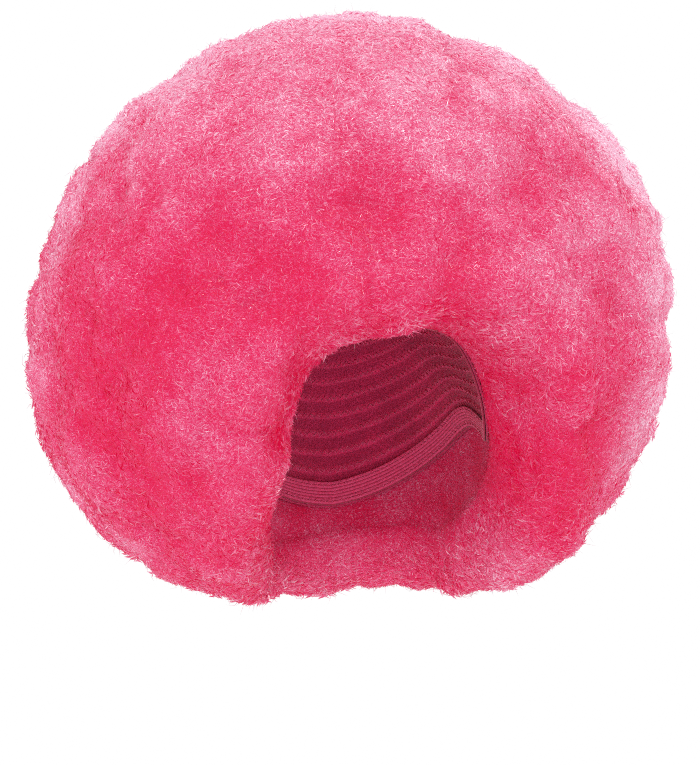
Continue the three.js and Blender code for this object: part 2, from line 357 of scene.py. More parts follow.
hairForm = {
    "width": 0.382,
    "length": 0.364,
    "roundHeight": 0.382,
    "aboveCrown": 0.142,
    "belowCrown": 0.217,
    "behindCrown": 0.024,
    "capWall": 0.0016,
    "clearance": 0.0016,
    "hemRounding": 0.044,
    "leftSweep": 0.012,
    "lipBulge": 0.012,
    "lipThinning": 0.2,
    "lipThinningFrom": 0.7,
    "outerFaceEnd": math.radians(118),
    "lipEnd": math.radians(140),
    "coreInset": -0.0045,
    "outerRows": 168,
    "lipRows": 40,
    "innerRows": 24,
    "columns": 256,
}

tuftForm = {
    "count": 400,
    "height": 0.013,
    "reach": 0.029,
    "variation": 0.35,
    "scatter": 0.5,
    "fade": math.radians(19),
    "core": 0.55,
    "smallCount": 2600,
    "smallHeight": 0.003,
    "smallReach": 0.013,
    "frizz": 0.0012,
    "frizzWaves": (60, 0.008, 0.02, 11),
}

# The hair's edge from front to back, the same on both sides: shares across, behind and below.
hairEdge = [
    (0, -1, 0.158),  # front
    (0.6, -0.79, 0.26),  # front corner
    (0.79, -0.68, 0.42),  # side of the front, upper
    (0.83, -0.65, 0.53),  # side of the front
    (0.91, -0.36, 0.72),  # side
    (1.16, 0.16, 1.067),  # side of the hem
    (0.8, 0.83, 1.067),  # back corner of the hem
    (0, 1.17, 1.067),  # back
]

# Swellings and hollows seen from the middle of the ball: turned from the front to the left as worn
# and raised, in degrees, height in metres, and angle of reach.
swells = [
    (-3, 6, 0.0078, 0.24),  # above the opening
    (29, 15, 0.0085, 0.3),  # left front
    (25, -15, 0.0064, 0.2),  # left of the opening
    (-40, -12, 0.0071, 0.22),  # right of the opening
    (-17, 20, 0.005, 0.14),  # right front
    (8, 45, 0.0064, 0.3),  # top left
    (-52, 42, 0.0064, 0.3),  # top right
    (-60, 6, 0.005, 0.16),  # right side
    (76, 33, 0.0035, 0.34),  # upper left outline
    (-104, -16, 0.0035, 0.3),  # lower right outline
    (37, -50, 0.0142, 0.3),  # hem on the left
    (165, 38, 0.0071, 0.34),  # back of the crown
    (130, -8, 0.0064, 0.28),  # back left
    (-145, 4, 0.0057, 0.26),  # back right
    (-10, 26, -0.0085, 0.15),  # middle front
    (-12, 37, -0.005, 0.14),  # middle top
    (-26, 16, -0.0085, 0.13),  # above the opening, right
    (-44, 22, -0.0078, 0.15),  # upper right front
    (-50, 12, -0.0071, 0.15),  # right front
    (-68, -9, -0.0092, 0.24),  # right side
    (-60, -30, -0.0064, 0.16),  # lower right
    (11, 9, -0.0085, 0.15),  # above the opening, left
    (10, 20, -0.0064, 0.14),  # upper left front
    (24, 30, -0.0071, 0.14),  # top left front
    (31, -28, -0.0071, 0.18),  # lower left
    (50, -23, -0.0064, 0.16),  # left side
    (-37, -55, -0.0071, 0.2),  # hem on the right
    (175, -14, -0.0071, 0.24),  # back middle
    (120, 24, -0.0064, 0.2),  # back upper left
    (-120, 20, -0.0064, 0.2),  # back upper right
    (76, 68, -0.007, 0.2),  # top outline, left
    (-103, 76, -0.006, 0.13),  # top outline, right
    (76, -36, 0.004, 0.16),  # lower left outline
]

ballMiddle = np.array([0.0, hairForm["behindCrown"], hairForm["aboveCrown"] - hairForm["roundHeight"] / 2])
ballHalf = np.array([hairForm["width"], hairForm["length"], hairForm["roundHeight"]]) / 2
hairKnots = edgeKnots(hairEdge)


def reachOfBall(directions):
    # the lesser of the ball and the level cut below, less a rounding where they are alike
    ball = reachOfOval(directions, ballMiddle, ballHalf)
    down = np.minimum(directions[..., 2], -1e-6)
    level = np.where(directions[..., 2] < 0, (-hairForm["belowCrown"] - heart[2]) / down, 1e3)
    rounding = hairForm["hemRounding"]
    alike = np.maximum(rounding - np.abs(ball - level), 0) / rounding
    return np.minimum(ball, level) - alike * alike * rounding / 4


def reachOfHollow(directions):
    # the greater of the room for the cap and the open room below it
    overCap = reachOfOval(directions, *headOval(hairForm["capWall"] + hairForm["clearance"]))
    return np.maximum(overCap, reachOfNeck(directions))


def foldedIntoHair(fromPole, around):
    # the back of the sphere becomes the outer face, a belt the lip, and the front is pushed in as the
    # hollow: place = heart + direction * (hollow + thickness * outward)
    rim = rimAngle(hairKnots, around)
    outerEnd, lipEnd = hairForm["outerFaceEnd"], hairForm["lipEnd"]
    turned = math.pi * np.clip((fromPole - outerEnd) / (lipEnd - outerEnd), 0, 1)
    rimDirection = directionAt(rim, around)
    rimMiddle = (reachOfBall(rimDirection) + reachOfHollow(rimDirection)) / 2
    onOuter = fromPole <= outerEnd
    onInner = fromPole >= lipEnd
    angle = np.where(
        onOuter,
        rim * fromPole / outerEnd,
        np.where(
            onInner,
            rim * (math.pi - fromPole) / (math.pi - lipEnd),
            rim + hairForm["lipBulge"] / rimMiddle * np.sin(turned),
        ),
    )
    outward = np.where(onOuter, 1.0, np.where(onInner, 0.0, (1 + np.cos(turned)) / 2))
    shape = directionAt(np.minimum(angle, rim), around)
    inner = reachOfHollow(shape)
    start = hairForm["lipThinningFrom"]
    thinned = 1 - hairForm["lipThinning"] * eased((np.minimum(angle, rim) / rim - start) / (1 - start))
    reach = inner + (reachOfBall(shape) - inner) * thinned * outward
    places = heart + directionAt(angle, around) * reach[..., None]
    return places, 1 - eased((fromPole - lipEnd + tuftForm["fade"]) / tuftForm["fade"])


def spreadPoints(count):
    # points spread over the unit sphere by the golden angle, each then moved a little at random
    i = np.arange(count)
    z = 1 - (2 * i + 1) / count
    turn = i * math.pi * (3 - math.sqrt(5))
    radius = np.sqrt(1 - z * z)
    points = np.stack([radius * np.cos(turn), radius * np.sin(turn), z], axis=-1)
    moved = np.stack([2 * scattered(i, salt) - 1 for salt in (2, 3, 4)], axis=-1)
    return unitRows(points + tuftForm["scatter"] * math.sqrt(4 * math.pi / count) * moved)


def highestCap(points, middles, reaches, heights):
    # at each point, the highest of the rounded caps over it: height * (1 - (distance / reach)^2)
    highest = np.zeros(len(points), dtype=np.float32)
    middles = middles.astype(np.float32)
    squares = (middles * middles).sum(1)
    slopes = (heights / reaches**2).astype(np.float32)
    for start in range(0, len(points), 4000):
        part = points[start : start + 4000].astype(np.float32)
        distances = (part * part).sum(1)[:, None] + squares - 2 * part @ middles.T
        highest[start : start + 4000] = (heights - slopes * distances).max(axis=1)
    return np.maximum(highest, 0)


def tuftsOver(points, count, height, reach):
    # tufts spread over the folded sphere, lower towards the hollow
    onSphere = spreadPoints(count)
    fromPole = np.arccos(np.clip(-onSphere @ openingAxis, -1, 1))
    around = np.arctan2(onSphere @ towardsLeft, onSphere @ towardsFront)
    middles, lifts = foldedIntoHair(fromPole, around)
    sizes = 1 + tuftForm["variation"] * (2 * scattered(np.arange(count), 1) - 1)
    used = lifts > 0
    return highestCap(points, middles[used], reach * sizes[used], height * lifts[used] * sizes[used])


# The hair's tone: painted light towards the top, the left as worn and the rim, painted shade in the
# hollows, folds and between the fibres, painted glints on some strands, paler strands where they stand
# out, and a fine grain.
toneForm = {
    "ground": 0.2,
    "top": 0.28,
    "left": 0.1,
    "swell": 0.32,
    "belt": 0.34,
    "beltFrom": 88,
    "beltAhead": 19,
    "beltBehind": 50,
    "beltTurn": -13.5,
    "mass": -0.08,
    "glintLift": 0.55,
    "glintLess": 0.19,
    "outward": 0.8,
    "outwardFrom": 0.26,
    "largeShare": 0.35,
    "smallShare": 0.25,
    "formShare": 0.5,
    "formHeight": 0.0085,
    "swellMiddle": 0.5,
    "foldShare": 0.55,
    "foldWaves": (24, 0.07, 0.15, 12),
    "grainShare": 0.2,
    "grainWaves": (40, 0.02, 0.05, 14),
    "bend": 0.02,
    "bendWaves": (12, 0.05, 0.12),
    "bendSeed": 15,
    "drift": 0.06,
    "driftWaves": (12, 0.12, 0.3, 13),
    "topFrom": 0.05,
    "leftFrom": 0.3,
    "leftAbove": -0.5,
    "leftOver": 0.6,
    "litLeast": 0.3,
    "litSide": 0.5,
    "litHeight": 0.87,
    "litFrom": -0.3,
    "litOver": 0.6,
}

# Patches of painted shade and painted light, laid out as the swellings, each with the tone that it adds.
shadeAndLightPatches = [
    (-50, 0, -0.18, 0.16),  # right side
    (-54, -29, -0.06, 0.2),  # lower right
    (-52, -14, -0.12, 0.12),  # right side, lower
    (-23, 14, -0.1, 0.13),  # above the opening, right
    (36, 33, -0.1, 0.14),  # upper left front
    (-30, 29, -0.12, 0.14),  # upper right front
    (17, 38, -0.08, 0.13),  # top left front
    (-6, 19, -0.08, 0.13),  # middle front
    (43, -29, -0.12, 0.2),  # left side below
    (62, 9, 0.14, 0.15),  # left outline
    (-103, 44, 0.07, 0.2),  # upper right outline
    (-86, 19, 0.3, 0.16),  # right outline
    (-90, -4, 0.18, 0.14),  # right outline, lower
    (30, -27, -0.18, 0.2),  # lower left
    (-4, 10, -0.13, 0.14),  # above the opening
    (46, 0, -0.15, 0.13),  # left side
    (27, 13, 0.1, 0.15),  # left front
    (38, -22, 0.17, 0.13),  # left of the opening
    (46, -43, -0.36, 0.17),  # left of the opening, below
    (-29, -11, -0.1, 0.1),  # right of the opening
    (-35, -19, -0.07, 0.12),  # right of the opening, below
    (23, -47, 0.06, 0.2),  # hem on the left
]


def aimAt(turn, rise):
    # the direction turned from the front to the left as worn, then raised, in degrees
    a, e = math.radians(turn), math.radians(rise)
    return np.array([math.sin(a) * math.cos(e), -math.cos(a) * math.cos(e), math.sin(e)])


def bumpsOver(directions, table):
    # the sum of rounded bumps: height * exp(-(angle from the bump's middle / reach)^2)
    total = np.zeros(len(directions))
    for turn, rise, height, reach in table:
        share = np.arccos(np.clip(directions @ aimAt(turn, rise), -1, 1)) / reach
        total += height * np.exp(-share * share)
    return total


def placeTone(points, swell):
    # the sum of the ground, painted light in smooth steps towards the top and the left as worn, painted
    # shade and light by the swelling, the patches of painted shade and light, and a painted rim light in a
    # belt from the widest part of the ball backwards: exp(-(angle from there / reach)^2)
    directions = unitRows(points - ballMiddle)
    side = directions[:, 0]
    height = directions[:, 2] + toneForm["drift"] * waveField(points, *toneForm["driftWaves"])
    # painted light: paler towards the top, where the lamps fall from above
    top = toneForm["top"] * eased((height - toneForm["topFrom"]) / (1 - toneForm["topFrom"]))
    # painted light: paler towards the left as worn, which the lamps fall on, except low down
    left = toneForm["left"] * eased((side - toneForm["leftFrom"]) / toneForm["leftOver"])
    left = left * eased((height - toneForm["leftAbove"]) / toneForm["leftOver"])
    # painted rim light in a belt from the widest part of the ball backwards, narrower in front
    fromFront = np.degrees(np.arccos(np.clip(directions @ aimAt(toneForm["beltTurn"], 0), -1, 1)))
    past = fromFront - toneForm["beltFrom"]
    belt = np.exp(-((past / np.where(past < 0, toneForm["beltAhead"], toneForm["beltBehind"])) ** 2))
    # the painted rim light is strongest where the lamps fall, above and to the left as worn
    turned = toneForm["litSide"] * side + toneForm["litHeight"] * height - toneForm["litFrom"]
    lit = toneForm["litLeast"] + (1 - toneForm["litLeast"]) * eased(turned / toneForm["litOver"])
    tone = toneForm["ground"] + top + left + toneForm["belt"] * belt * lit
    # painted shade in the hollows and painted light on the swellings, and the patches of painted shade and
    # light
    return tone + toneForm["swell"] * (swell - toneForm["swellMiddle"]) + bumpsOver(directions, shadeAndLightPatches)


def foldsOver(points):
    # painted shade in soft folds, darkest along their creases, and a fine grain: share * |wave| + share *
    # finer wave, at points moved by other waves
    moves = [waveField(points, *toneForm["bendWaves"], toneForm["bendSeed"] + axis) for axis in range(3)]
    bent = points + toneForm["bend"] * np.stack(moves, axis=-1)
    folds = toneForm["foldShare"] * np.abs(waveField(bent, *toneForm["foldWaves"]))
    return folds + toneForm["grainShare"] * waveField(bent, *toneForm["grainWaves"])


def gridNormals(grid):
    # outward normals of a closed polar grid, from the steps along its rings and down its rows
    roundStep = np.roll(grid, -1, axis=1) - np.roll(grid, 1, axis=1)
    downStep = np.gradient(grid, axis=0)
    return unitRows(np.cross(downStep, roundStep))


def polarFaces(rows, columns, firstPole, lastPole):
    # quads between the rings and triangle fans to the two pole points, turned to face outwards
    ring = np.arange(rows * columns).reshape(rows, columns)
    nextRing = np.roll(ring, -1, axis=1)
    quads = np.stack([ring[:-1], ring[1:], nextRing[1:], nextRing[:-1]], axis=-1).reshape(-1, 4)
    top = np.stack([np.full(columns, firstPole), ring[0], nextRing[0]], axis=-1)
    bottom = np.stack([np.full(columns, lastPole), nextRing[-1], ring[-1]], axis=-1)
    return quads, top, bottom


def polarUv(rows, columns):
    # the grid laid flat: round the opening across, from pole to pole up, in the order of polarFaces
    row, column = np.meshgrid(np.arange(rows - 1), np.arange(columns), indexing="ij")
    across = np.stack([column, column, column + 1, column + 1], axis=-1) / columns
    up = (np.stack([row, row + 1, row + 1, row], axis=-1) + 1) / (rows + 1)
    quads = np.stack([across, up], axis=-1).reshape(-1, 2)
    step = np.arange(columns)
    first = np.stack([(step + 0.5) / columns, np.zeros(columns)], axis=-1)
    left = np.stack([step / columns, np.full(columns, 1 / (rows + 1))], axis=-1)
    right = np.stack([(step + 1) / columns, np.full(columns, 1 / (rows + 1))], axis=-1)
    top = np.stack([first, left, right], axis=1).reshape(-1, 2)
    # the fan at the other pole is the same one upside down
    bottom = np.stack([first, right, left], axis=1).reshape(-1, 2) * [1.0, -1.0] + [0.0, 1.0]
    return np.concatenate([quads, top, bottom])


def makeHairMass():
    # the folded form raised along its normals by tufts, swellings and frizz, with its tone
    outerEnd, lipEnd = hairForm["outerFaceEnd"], hairForm["lipEnd"]
    fromPole = np.concatenate(
        [
            np.linspace(0, outerEnd, hairForm["outerRows"] + 1)[1:],
            np.linspace(outerEnd, lipEnd, hairForm["lipRows"] + 1)[1:],
            np.linspace(lipEnd, math.pi, hairForm["innerRows"] + 1)[1:-1],
        ]
    )
    columns = hairForm["columns"]
    around = columnsAround(columns)
    rowAngles, columnAngles = np.meshgrid(fromPole, around, indexing="ij")
    grid, lifts = foldedIntoHair(rowAngles, columnAngles)
    normals = gridNormals(grid)
    points = grid.reshape(-1, 3)
    form = bumpsOver(unitRows(points - ballMiddle), swells)
    large = tuftsOver(points, tuftForm["count"], tuftForm["height"], tuftForm["reach"])
    small = tuftsOver(points, tuftForm["smallCount"], tuftForm["smallHeight"], tuftForm["smallReach"])
    frizz = tuftForm["frizz"] * waveField(points, *tuftForm["frizzWaves"])
    raised = tuftForm["core"] * large + form + small - tuftForm["smallHeight"] / 2 + frizz
    raised = lifts.reshape(-1) * (raised - hairForm["coreInset"])
    points = points + normals.reshape(-1, 3) * raised[:, None]
    # the swelling: the tone is painted paler on the tufts and swells and darker in the hollows and folds,
    # as light and shade
    swell = large / tuftForm["height"] * toneForm["largeShare"]
    swell = swell + small / tuftForm["smallHeight"] * toneForm["smallShare"]
    swell = swell + form / toneForm["formHeight"] * toneForm["formShare"] + foldsOver(points)
    # the mass under the strands is painted darker, as the shade between the fibres
    tone = np.clip(placeTone(points, swell) + toneForm["mass"], 0, 1)
    rows = len(fromPole)
    surface = {
        "grid": points.reshape(rows, columns, 3),
        "normals": gridNormals(points.reshape(rows, columns, 3)),
        "swell": swell.reshape(rows, columns),
        "fromPole": fromPole,
    }
    poles, _ = foldedIntoHair(np.array([0.0, math.pi]), np.zeros(2))
    poleLift = raised[:columns].mean()
    poles[0] = poles[0] - openingAxis * poleLift
    everyPoint = np.concatenate([points, poles])
    quads, top, bottom = polarFaces(rows, columns, rows * columns, rows * columns + 1)
    attributes = {"tone": np.concatenate([tone, [0.5, 0.5]])}
    faces = [quads, top, bottom]
    uv = polarUv(rows, columns)
    newPiece("hair_mass", everyPoint, faces, hairMassMaterial(), "hair", uv, attributes)
    return surface


surface = makeHairMass()

# The fibres: thousands of tapered strands of three sides, rooted in the mass, joined in a few pieces.

fuzz = {
    "pieces": 4,
    "perPiece": 45500,
    "joints": 0,
    "length": (0.0025, 0.0058),
    "radius": (0.00012, 0.0002),
    "outward": (0.0, 0.52),
    "bend": (0.05, 0.2),
    "seed": 20,
}
shortStrands = {
    "pieces": 1,
    "perPiece": 6000,
    "joints": 2,
    "length": (0.005, 0.011),
    "radius": (0.00014, 0.00022),
    "outward": (0.1, 0.65),
    "crimp": 0.0024,
    "crimpLeast": 0.4,
    "taper": 0.6,
    "seed": 21,
}
rooting = {
    "depth": 0.0004,
    "lipDensity": 1.9,
    "innerDensity": 0.7,
    "innerFrom": 0.6,
    "innerLength": 0.5,
    "fringeLength": 0.55,
    "fringeOutward": 0.12,
    "fringeThinning": 0.35,
    "combing": 0.6,
    "level": 0.45,
    "combWaves": (12, 0.025, 0.06),
    "combSeed": 40,
    "combLean": 0.02,
    "lengthSway": 0.3,
    "swayWaves": (16, 0.03, 0.07, 50),
    "glintPower": 2.5,
    "mapFill": 0.9,
}


def rootsOn(surface, count, rng):
    # places picked evenly by area over the outer face, the lip and the inner face below the cap
    grid, normals, swell = surface["grid"], surface["normals"], surface["swell"]
    here, right = grid[:-1], np.roll(grid, -1, axis=1)[:-1]
    areas = np.linalg.norm(np.cross(right - here, grid[1:] - here), axis=-1)
    fromPole = surface["fromPole"][:-1]
    lipEnd = hairForm["lipEnd"]
    weight = np.where(fromPole < hairForm["outerFaceEnd"], 1.0, rooting["lipDensity"])
    deep = lipEnd + (math.pi - lipEnd) * (1 - rooting["innerFrom"])
    weight = np.where(fromPole > lipEnd, rooting["innerDensity"], weight)
    weight = np.where(fromPole > deep, 0.0, weight)
    chances = (areas * weight[:, None]).reshape(-1)
    picked = rng.choice(len(chances), count, p=chances / chances.sum())
    row, column = np.divmod(picked, grid.shape[1])
    following = (column + 1) % grid.shape[1]
    u, v = rng.random((2, count))

    def between(values):
        shape = (count,) + (1,) * (values.ndim - 2)
        a, b = u.reshape(shape), v.reshape(shape)
        upper = values[row, column] * (1 - a) + values[row, following] * a
        lower = values[row + 1, column] * (1 - a) + values[row + 1, following] * a
        return upper * (1 - b) + lower * b

    # longer in the middle of the lip, where they hang over the opening: 1 - less * eased + more * fringe
    short = eased((fromPole[row] - hairForm["outerFaceEnd"]) / (lipEnd - hairForm["outerFaceEnd"]))
    fringe = 4 * short * (1 - short)
    lengthShare = 1 - (1 - rooting["innerLength"]) * short + rooting["fringeLength"] * fringe
    return between(grid), unitRows(between(normals)), between(swell), lengthShare, fringe


def strandWays(roots, normals, lengthShare, fringe, form, rng):
    # each strand starts along a mix of outwards, the local combing, the level way round and chance
    count = len(roots)
    field = [waveField(roots, *rooting["combWaves"], rooting["combSeed"] + axis) for axis in range(3)]
    combed = unitRows(np.stack(field, axis=-1) + rooting["combLean"])
    loose = unitRows(rng.normal(size=(count, 3)))
    level = unitRows(np.stack([-normals[:, 1], normals[:, 0], np.zeros(count)], axis=-1))
    level = level * rooting["level"] * np.sign(rng.random(count) - 0.5)[:, None]
    flat = combed * rooting["combing"] + level + loose
    flat = unitRows(flat - normals * (flat * normals).sum(1)[:, None])
    outward = rng.uniform(*form["outward"], count) + rooting["fringeOutward"] * fringe
    ways = flat * np.sqrt(1 - outward**2)[:, None] + normals * outward[:, None]
    sway = 1 + rooting["lengthSway"] * waveField(roots, *rooting["swayWaves"])
    lengths = rng.uniform(*form["length"], count) * lengthShare * sway
    return ways, lengths, outward


def sliverMesh(starts, ways, normals, lengths, radii, form, rng):
    # a short bent fibre of four sides: its ends are points, and its middle is two points, apart by the
    # width and lifted by a share of the length
    sides = unitRows(np.cross(normals, ways))
    lifts = unitRows(np.cross(ways, sides)) * (lengths * rng.uniform(*form["bend"], len(starts)))[:, None]
    middles = starts + ways * lengths[:, None] / 2 + lifts
    across = sides * radii[:, None]
    ends = starts + ways * lengths[:, None]
    points = np.stack([starts, middles + across, middles - across, ends], axis=1)
    faces = [(0, 2, 1), (3, 1, 2), (0, 1, 3), (0, 3, 2)]
    laidFlat = {
        "upper": [(0.25, 0.08), (0.08, 0.5), (0.42, 0.5), (0.25, 0.92)],
        "lower": [(0.75, 0.08), (0.58, 0.5), (0.92, 0.5), (0.75, 0.92)],
    }
    flats = ["upper", "upper", "lower", "lower"]
    cell = [laidFlat[flat][corner] for face, flat in zip(faces, flats) for corner in face]
    return points, faces, np.array([0, 0.5, 0.5, 1]), np.array(cell)


def tubeMesh(starts, ways, normals, lengths, radii, form, rng):
    # a tapered tube of three sides, bent sideways to and fro at every joint
    count, joints = len(starts), form["joints"]
    sides = unitRows(np.cross(ways, unitRows(rng.normal(size=(count, 3)))))
    shares = np.linspace(0, 1, joints + 1)
    bends = form["crimp"] * rng.uniform(form["crimpLeast"], 1.0, (count, joints + 1, 1))
    bends *= np.where(np.arange(joints + 1) % 2 == 1, 1.0, -1.0)[:, None]
    bends[:, 0] = 0
    steps = ways[:, None] * lengths[:, None, None] * shares[:, None]
    paths = starts[:, None] + steps + sides[:, None] * bends
    corner = 2 * math.pi * np.arange(3) / 3
    upright = np.cross(ways, sides)
    around = np.cos(corner)[:, None] * sides[:, None] + np.sin(corner)[:, None] * upright[:, None]
    taper = (1 - form["taper"] * shares[:-1])[:, None, None]
    rings = paths[:, :-1, None] + around[:, None] * radii[:, None, None, None] * taper
    points = np.concatenate([rings.reshape(count, -1, 3), paths[:, -1:]], axis=1)
    faces, cell = [(0, 2, 1)], [(0.1, 0.02), (0.3, 0.02), (0.2, 0.08)]
    low, high = (np.arange(joints) + 0.5) / (joints + 0.5), (np.arange(joints) + 1.5) / (joints + 0.5)
    for ring in range(joints):
        for side in range(3):
            a, b = ring * 3 + side, ring * 3 + (side + 1) % 3
            left, right = side / 3, (side + 0.9) / 3
            if ring == joints - 1:
                faces.append((a, b, joints * 3))
                cell += [(left, low[ring]), (right, low[ring]), ((left + right) / 2, high[ring] - 0.04)]
            else:
                faces += [(a, b, b + 3), (a, b + 3, a + 3)]
                cell += [(left, low[ring]), (right, low[ring]), (right, high[ring])]
                cell += [(left, low[ring]), (right, high[ring]), (left, high[ring])]
    return points, faces, np.append(np.repeat(shares[:-1], 3), 1.0), np.array(cell)


def makeStrands(name, surface, form, piece):
    # one piece of strands: roots, ways, forms and tones, all drawn from one seed
    rng = np.random.default_rng([form["seed"], piece])
    count = form["perPiece"]
    roots, normals, swell, lengthShare, fringe = rootsOn(surface, count, rng)
    ways, lengths, outward = strandWays(roots, normals, lengthShare, fringe, form, rng)
    # some strands are painted as glints, the palest, and are also the thickest
    glintShare = rng.random(count) ** rooting["glintPower"]
    thinnest, thickest = form["radius"]
    radii = (thinnest + (thickest - thinnest) * glintShare) * (1 - rooting["fringeThinning"] * fringe)
    starts = roots - normals * rooting["depth"]
    build = sliverMesh if form["joints"] == 0 else tubeMesh
    points, template, along, cell = build(starts, ways, normals, lengths, radii, form, rng)
    perStrand = points.shape[1]
    triangles = (np.arange(count)[:, None, None] * perStrand + np.array(template)).reshape(-1, 3)
    # painted glints on some strands, less a little on all
    tone = placeTone(roots, swell) + toneForm["glintLift"] * glintShare - toneForm["glintLess"]
    # painted light and shade: strands that stand out further are paler, those that lie flat darker
    rise = outward - rooting["fringeOutward"] * fringe - toneForm["outwardFrom"]
    tone = tone + toneForm["outward"] * rise
    attributes = {"along": np.tile(along, count), "tone": np.repeat(tone, perStrand)}
    # one small cell of the map for each strand
    cells = math.ceil(math.sqrt(count))
    base = np.stack([np.arange(count) % cells, np.arange(count) // cells], axis=-1)
    uv = (base[:, None] + cell * rooting["mapFill"] + (1 - rooting["mapFill"]) / 2) / cells
    strands = newPiece(name, points.reshape(-1, 3), [triangles], strandLook, None, uv, attributes)
    # thin fibres let light through, so they hold none back from each other
    strands.visible_shadow = strands.visible_diffuse = strands.visible_glossy = False
    if build is sliverMesh:
        strands.data.shade_flat()


strandLook = strandMaterial()
for kind, form in (("fuzz", fuzz), ("short_strands", shortStrands)):
    for piece in range(form["pieces"]):
        makeStrands(f"hair_{kind}_{piece + 1}", surface, form, piece)


# The cap: a thin stretch net shaped to the head, with rows of wefts stitched round inside it.

capForm = {
    "wall": 0.0016,
    "bandWidth": 0.016,
    "outerRows": 20,
    "innerRows": 132,
    "columns": 128,
    "rimBulge": 0.0004,
    "wefts": 12,
    "firstWeft": 0.09,
    "lastWeft": 0.95,
    "weftHeight": 0.0007,
    "weftWidth": 0.0042,
    "threadRadius": 0.0003,
    "stitch": 0.0045,
    "stitchReach": 0.0013,
    "meshScale": 620.0,
    "rimOutward": (0.85, 0.5, 0.15),
    "rimShare": (0.7, 1.0, 0.7),
    "threadSink": 0.6,
}
capColours = {
    "net": linear(206, 48, 102),
    "gap": linear(182, 28, 78),
    "weft": linear(222, 44, 102),
    "thread": linear(234, 90, 140),
}

# The cap's edge from front to back, laid out as the hair's.
capEdge = [
    (0, -1, 0.17),  # front
    (0.6, -0.77, 0.255),  # front corner
    (0.83, -0.63, 0.46),  # side of the front
    (0.91, -0.42, 0.61),  # tab at the side
    (1, 0.1, 0.57),  # side
    (0.91, 0.42, 0.65),  # behind the tab
    (0, 0.85, 0.79),  # back
]
capKnots = edgeKnots(capEdge)


def capAngles(around):
    # the angles from the back pole where the band begins and where the cap ends
    end = rimAngle(capKnots, around)
    reach = reachOfOval(directionAt(end, around), *headOval())
    return end - capForm["bandWidth"] / reach, end


def overHead(angle, around, depth):
    # places on the head's oval, moved towards the heart by the depth
    directions = directionAt(angle, around)
    return heart + directions * (reachOfOval(directions, *headOval()) - depth)[..., None]


def makeCap():
    # down the outer side, round the edge and up the inner side, whose depth follows the wefts:
    # height * (1 - (distance / half width)^2) over each
    around = columnsAround(capForm["columns"])
    down = np.linspace(0, 1, capForm["outerRows"] + 1)[1:]
    up = np.linspace(1, 0, capForm["innerRows"] + 1)[:-1]
    share = np.concatenate([down, [1, 1, 1], up])
    outward = np.concatenate([np.ones(len(down)), capForm["rimOutward"], np.zeros(len(up))])
    bulge = np.concatenate([np.zeros(len(down)), capForm["rimShare"], np.zeros(len(up))])
    shares, turns = np.meshgrid(share, around, indexing="ij")
    bandStart, end = capAngles(turns)
    angles = shares * end + bulge[:, None] * capForm["rimBulge"] / headForm["meanRadius"]
    nearest = np.abs(shares[None] * end - weftShares()[:, None, None] * bandStart).min(axis=0)
    nearest = nearest * headForm["meanRadius"]
    ridge = np.maximum(1 - (nearest / (capForm["weftWidth"] / 2)) ** 2, 0)
    ridge = ridge * (outward[:, None] == 0)
    depth = ridge * capForm["weftHeight"] - outward[:, None] * capForm["wall"]
    grid = overHead(angles, turns, depth)
    rows, columns = shares.shape
    poles = overHead(np.zeros(2), np.zeros(2), np.array([-capForm["wall"], 0.0]))
    points = np.concatenate([grid.reshape(-1, 3), poles])
    faces = polarFaces(rows, columns, rows * columns, rows * columns + 1)
    attributes = {"weft": np.concatenate([ridge.reshape(-1), [0, 0]])}
    uv = polarUv(rows, columns)
    cap = newPiece("stretch_cap", points, faces, capMaterial(), "cap", uv, attributes)


def weftShares():
    # where the wefts lie, as shares of the angle from the back pole to the band
    return np.linspace(capForm["firstWeft"], capForm["lastWeft"], capForm["wefts"])


def capMaterial():
    # a net of threads round cells, with rows of crimped weft across it
    settings = {
        "Roughness": 0.85,
        "Specular IOR Level": 0.25,
        "Sheen Weight": 0.2,
        "Sheen Roughness": 0.5,
    }
    material, tree, shader = newMaterial("stretch_net", settings)
    place = addNode(tree, "ShaderNodeTexCoord").outputs["Object"]
    cells = addNode(
        tree, "ShaderNodeTexVoronoi", {"Scale": capForm["meshScale"]}, {"Vector": place},
        feature="DISTANCE_TO_EDGE",
    )
    threads = spread(tree, cells.outputs["Distance"], 0.05, 0.16, 1.0, 0.0)
    uneven = spread(tree, objectNoise(tree, 40.0, 3), 0.3, 0.7, 0.75, 1.0)
    net = mixColours(tree, threads, capColours["gap"], capColours["net"])
    weft = attributeOf(tree, "weft")
    fibres = fibreLines(tree, 300.0, 0.045)
    track = mixColours(tree, fibres, capColours["weft"], capColours["thread"])
    body = mixColours(tree, spread(tree, weft, 0.0, 0.3), net, track)
    shade = addNode(tree, "ShaderNodeCombineColor", None, {0: uneven, 1: uneven, 2: uneven})
    body = mixColours(tree, 1.0, body, shade.outputs[0], "MULTIPLY")
    dressShader(tree, shader, body, worked(tree, "ADD", threads, fibres), 0.5, 0.0004)
    return material


def threadMaterial():
    # a sewing thread in two shades of the hair's colour
    settings = {"Roughness": 0.5, "Specular IOR Level": 0.5, "Sheen Weight": 0.2}
    material, tree, shader = newMaterial("sewing_thread", settings)
    twist = spread(tree, objectNoise(tree, 900.0, 2), 0.35, 0.65)
    body = mixColours(tree, twist, capColours["weft"], capColours["thread"])
    dressShader(tree, shader, body)
    return material


def ringFaces(rows, columns):
    # quads of a grid that closes on itself both ways
    ring = np.arange(rows * columns).reshape(rows, columns)
    below = np.roll(ring, -1, axis=0)
    beside, across = np.roll(ring, -1, axis=1), np.roll(below, -1, axis=1)
    return np.stack([ring, below, across, beside], axis=-1).reshape(-1, 4)


